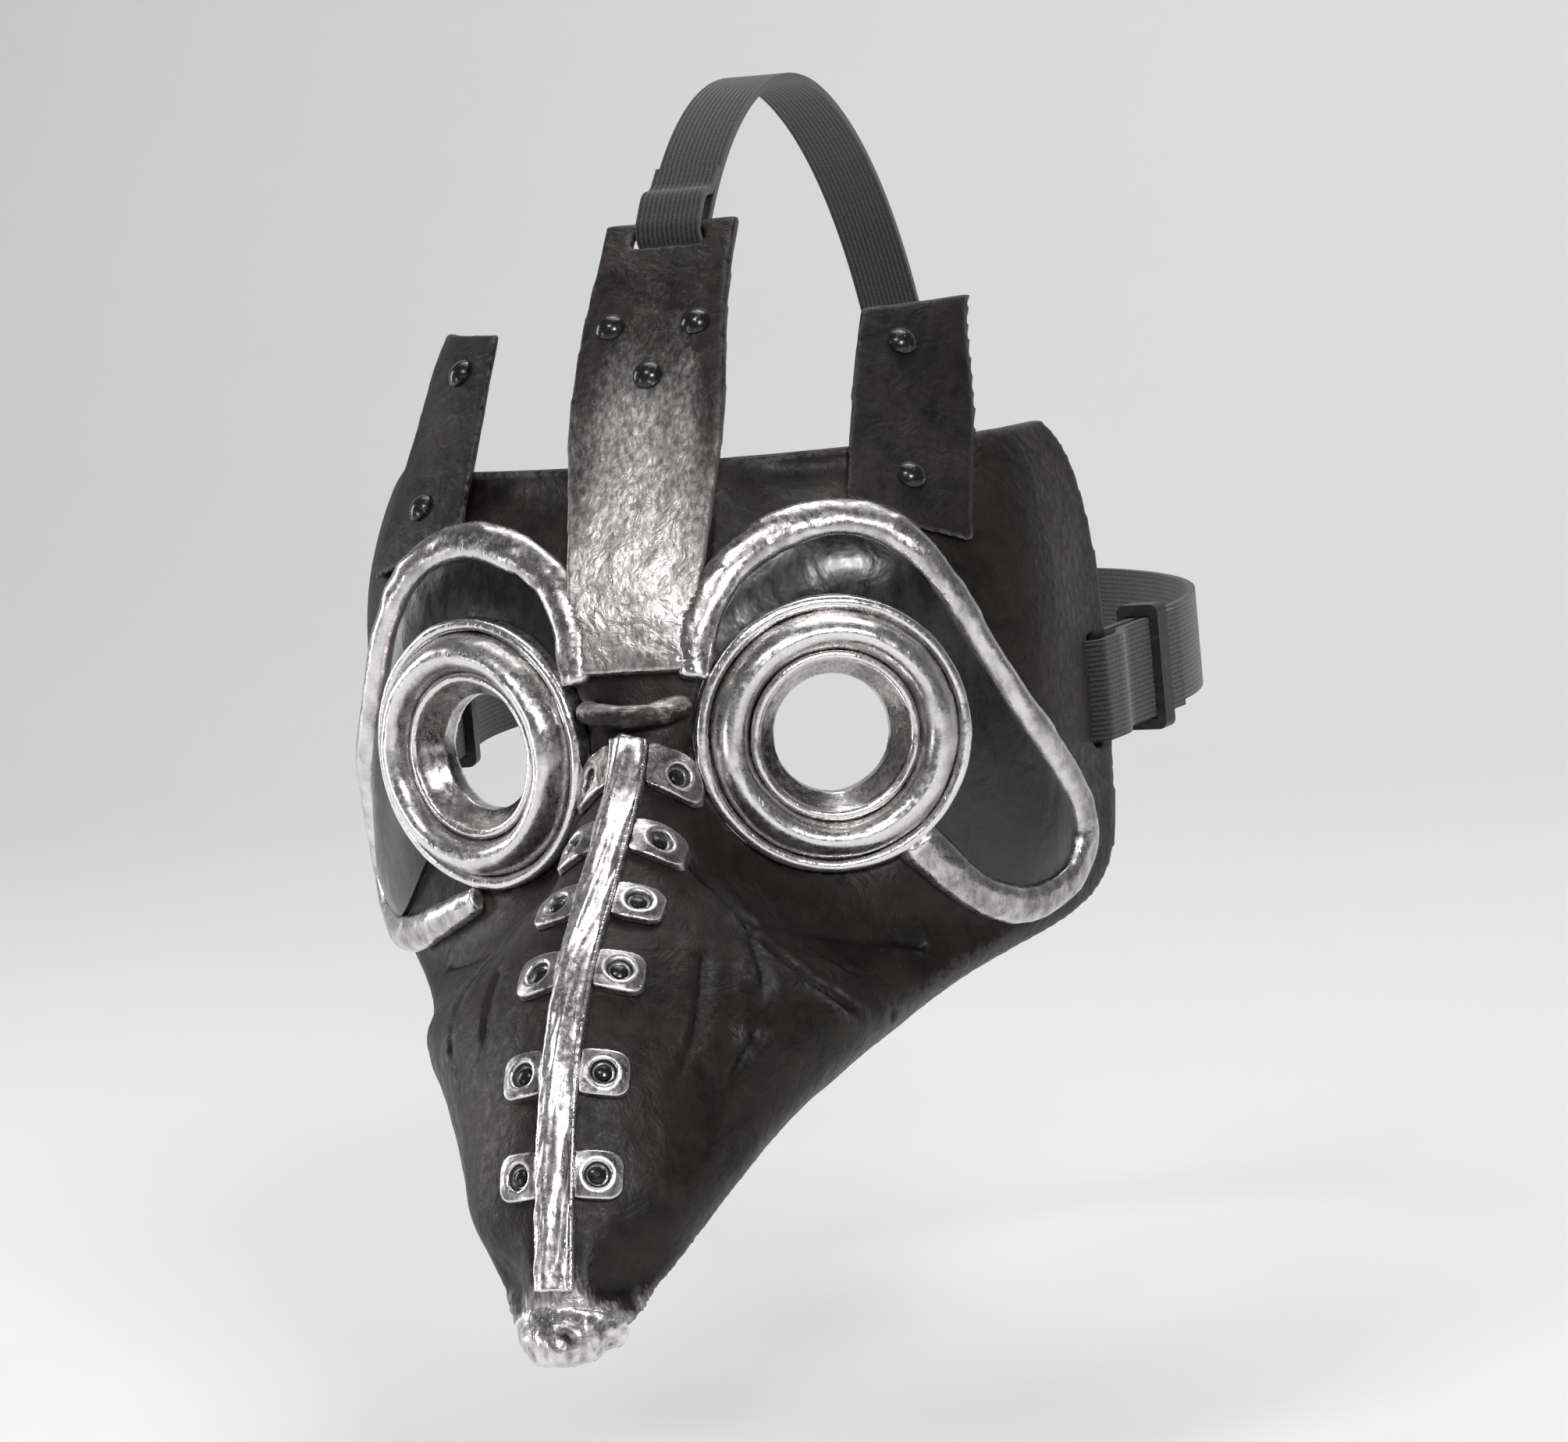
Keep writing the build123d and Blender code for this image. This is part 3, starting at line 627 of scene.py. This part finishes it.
def make_pad():
    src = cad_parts["brow_pad"]
    ob = bpy.data.objects.new("brow_lining", src.data.copy())
    bpy.context.scene.collection.objects.link(ob)
    mod = ob.modifiers.new("remesh", "REMESH")
    mod.mode = "VOXEL"
    mod.voxel_size = 1.6 * MM
    soft = ob.modifiers.new("soft", "SMOOTH")
    soft.iterations = 3
    dg = bpy.context.evaluated_depsgraph_get()
    me = bpy.data.meshes.new_from_object(ob.evaluated_get(dg))
    ob.modifiers.clear()
    ob.data = me
    me.materials.clear()
    rest = coords(me)
    cloth = ob.modifiers.new("cloth", "CLOTH")
    cloth.settings.use_pressure = True
    cloth.settings.uniform_pressure_force = 3.0
    cloth.settings.effector_weights.gravity = 0
    cloth.settings.quality = 5
    scene = bpy.context.scene
    for f in range(1, 21):
        scene.frame_set(f)
    dg = bpy.context.evaluated_depsgraph_get()
    puffed = bpy.data.meshes.new_from_object(ob.evaluated_get(dg))
    ob.modifiers.clear()
    co = coords(puffed)
    move = co - rest
    length = np.linalg.norm(move, axis=1)
    co = rest + move * np.minimum(1, 0.9 / np.maximum(length, 1e-6))[:, None]
    puffed.vertices.foreach_set("co", (co * MM).ravel())
    ob.data = puffed
    scene.frame_set(1)
    me = ob.data
    p, n = coords(me), normals(me)
    seam = np.exp(-(((p[:, 2] - 34) / 0.9) ** 2)) * (n[:, 1] > 0.2)
    p = p - n * (0.5 * seam)[:, None] + n * (0.12 * fbm(p * 0.3, 2))[:, None]
    me.vertices.foreach_set("co", (p * MM).ravel())
    me.update()
    me.polygons.foreach_set("use_smooth", np.ones(len(me.polygons), bool))
    sub = ob.modifiers.new("sub", "SUBSURF")
    sub.levels = sub.render_levels = 1
    me.materials.append(foam_cloth())
    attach(ob, "mask")
    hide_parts("brow_pad")


make_pad()

# ------------------------------------------------------------ camera, light and floor
AZIMUTH, ELEVATION, ROLL, DISTANCE = 18.0, 7.0, 5.5, 1.30
VIEW_WIDTH = 0.3013  # width of the picture at the eye plane, in metres
a, e, r = (math.radians(v) for v in (AZIMUTH, ELEVATION, ROLL))
back = Vector((math.sin(a) * math.cos(e), -math.cos(a) * math.cos(e), math.sin(e)))
right = Vector((math.cos(a), math.sin(a), 0))
up = back.cross(right)
image_x = right * math.cos(r) - up * math.sin(r)
image_y = right * math.sin(r) + up * math.cos(r)
spot = image_x * 0.0242 + image_y * 0.0042
cam = bpy.data.objects.new("camera", bpy.data.cameras.new("camera"))
bpy.context.scene.collection.objects.link(cam)
place = back * DISTANCE
axis_z = (place - spot).normalized()
axis_x = (image_x - axis_z * image_x.dot(axis_z)).normalized()
axis_y = axis_z.cross(axis_x)
cam.matrix_world = Matrix.Translation(place) @ Matrix((axis_x, axis_y, axis_z)).transposed().to_4x4()
cam.data.sensor_width = 36
cam.data.lens = 36 * DISTANCE / VIEW_WIDTH
cam.data.clip_start = 0.05
bpy.context.scene.camera = cam


def area(name, at, size, power, color=(1, 1, 1), aim=(0, -0.01, -0.01)):
    light = bpy.data.lights.new(name, "AREA")
    light.shape = "RECTANGLE"
    light.size, light.size_y = size
    light.energy = power
    light.color = color
    ob = bpy.data.objects.new(name, light)
    bpy.context.scene.collection.objects.link(ob)
    ob.location = at
    ob.rotation_euler = (Vector(at) - Vector(aim)).to_track_quat("Z", "Y").to_euler()
    return ob


view = bpy.context.scene.view_settings
view.view_transform = "Standard"
view.look = "None"
area("key", (0.75, -1.25, 0.75), (0.36, 0.28), 13)
area("front_top", (-0.15, -1.0, 1.15), (0.36, 0.22), 5.5)
area("left_low", (-1.1, -0.9, -0.02), (0.16, 0.4), 2.0)
area("top_soft", (0.1, 0.35, 1.3), (0.8, 0.8), 5)
area("backdrop", (0.0, 0.75, 1.7), (1.6, 0.6), 10, (1, 1, 1), (0, 1.5, 0.1))
area("left_rim", (-1.1, 0.15, 0.25), (0.2, 0.7), 4)
world = bpy.data.worlds.new("studio")
world.use_nodes = True
world.node_tree.nodes["Background"].inputs["Color"].default_value = (0.93, 0.94, 0.96, 1)
world.node_tree.nodes["Background"].inputs["Strength"].default_value = 0.13
bpy.context.scene.world = world


def make_floor():
    m = Mat("floor_pale")
    cloud = m.noise(0.004, 3, 0.5)
    pale = m.mix(cloud, (0.88, 0.88, 0.885), (0.93, 0.93, 0.935))
    fm = m.done(pale, 0.85, 0.0, m.bump(m.noise(0.4, 3, 0.5), 0.02, 0.2), 0.2)
    z = -0.165
    verts, faces = [], []
    profile = [(-2.2, z), (1.1, z)]
    for t in np.linspace(0.1, math.pi / 2, 14):
        profile.append((1.1 + 0.7 * math.sin(t), z + 0.7 * (1 - math.cos(t))))
    profile += [(1.8, 3.0)]
    for y, h in profile:
        verts += [(-3.5, y, h), (3.5, y, h)]
    for i in range(len(profile) - 1):
        faces.append((2 * i, 2 * i + 1, 2 * i + 3, 2 * i + 2))
    me = bpy.data.meshes.new("floor")
    me.from_pydata(verts, [], faces)
    me.polygons.foreach_set("use_smooth", np.ones(len(me.polygons), bool))
    me.materials.append(fm)
    ob = bpy.data.objects.new("floor", me)
    bpy.context.scene.collection.objects.link(ob)


make_floor()
